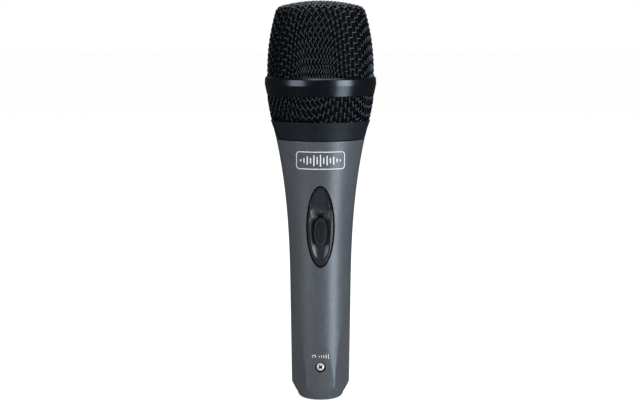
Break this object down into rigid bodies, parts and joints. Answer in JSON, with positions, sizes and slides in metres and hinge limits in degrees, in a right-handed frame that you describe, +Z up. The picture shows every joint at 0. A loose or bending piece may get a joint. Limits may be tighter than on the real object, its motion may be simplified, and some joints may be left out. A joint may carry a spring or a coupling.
{
  "type": "handheld dynamic microphone",
  "caption": "Handheld dynamic vocal microphone with a woven wire head basket, a flared metal handle, a recessed slide switch and a male XLR socket in its end.",
  "frame": {"origin": "centre of the flat rim around the XLR socket, at the lowest point of the upright microphone", "axes": "+Z up the handle's axis from the XLR end to the head; -Y towards the side with the slide switch and the retaining screw; +X to the right as seen facing the switch"},
  "size_m": [0.05, 0.05, 0.18],
  "materials": {
    "handle_paint": "satin fine metallic lacquer",
    "satin_black": "semi-gloss black lacquer",
    "mesh_black": "black painted woven wire",
    "foam": "open-cell foam",
    "black_plastic": "fine moulded texture",
    "knob_plastic": "moulded grip pattern",
    "rubber": "matt",
    "steel": "zinc plated",
    "nickel_screw": "bright nickel plate",
    "silver_pin": "silver plated",
    "brass": "machined",
    "copper": "lacquered winding wire",
    "magnet": "nickel plated magnet steel",
    "film": "thin polyester film",
    "felt": "damping felt",
    "board_green": "solder-masked circuit board",
    "nylon": "moulded nylon",
    "wire_red": "insulation",
    "wire_black": "insulation",
    "wire_white": "insulation"
  },
  "bodies": {
    "handle": {"handle_shell": "handle_paint", "xlr_insert": "black_plastic", "xlr_pin_1": "silver_pin", "xlr_pin_2": "silver_pin", "xlr_pin_3": "silver_pin", "insert_screw": "nickel_screw", "switch_plate": "black_plastic", "switch_can": "steel", "switch_board": "board_green", "switch_terminal_1": "brass", "switch_terminal_2": "brass", "switch_terminal_3": "brass", "board_screw_lower": "steel", "board_screw_upper": "steel", "capsule_wire_hot": "wire_red", "capsule_wire_cold": "wire_black", "xlr_wire_1": "wire_black", "xlr_wire_2": "wire_red", "xlr_wire_3": "wire_white", "isolator": "rubber", "rear_chamber": "black_plastic", "capsule_body": "black_plastic", "capsule_cap": "black_plastic", "cap_felt": "felt", "yoke": "magnet", "magnet": "steel", "pole_piece": "magnet", "top_plate": "magnet", "diaphragm_ring": "brass", "terminal_board": "board_green", "terminal_hot": "brass", "terminal_cold": "brass"},
    "knob": {"switch_knob": "knob_plastic", "switch_actuator": "nylon", "switch_contact": "brass"},
    "diaphragm_coil": {"diaphragm": "film", "voice_coil": "copper"},
    "gasket": {"neck_gasket": "rubber"},
    "liner": {"foam_liner": "foam"},
    "basket": {"basket_collar": "satin_black", "lower_mesh": "mesh_black", "basket_ring": "satin_black", "upper_mesh": "mesh_black"}
  },
  "joints": [
    {"name": "switch_slide", "type": "slide", "parent": "handle", "child": "knob", "axis": [0, 0, 1], "range_m": [0, 0.005]},
    {"name": "diaphragm_travel", "type": "slide", "parent": "handle", "child": "diaphragm_coil", "axis": [0, 0, 1], "range_m": [-0.00015, 0.00015], "stiffness_N_per_m": 50},
    {"name": "thread_rise", "type": "slide", "parent": "handle", "child": "gasket", "axis": [0, 0, 1], "range_m": [0, 0.005]},
    {"name": "basket_lift", "type": "slide", "parent": "gasket", "child": "liner", "axis": [0, 0, 1], "range_m": [0, 0.06]},
    {"name": "basket_unscrew", "type": "hinge", "parent": "liner", "child": "basket", "pos_m": [0, 0, 0.119], "axis": [0, 0, 1], "range_deg": [0, 1800]}
  ],
  "couplings": [
    {"joint": "thread_rise", "follows": "basket_unscrew", "m_per_rad": 0.00015915}
  ]
}
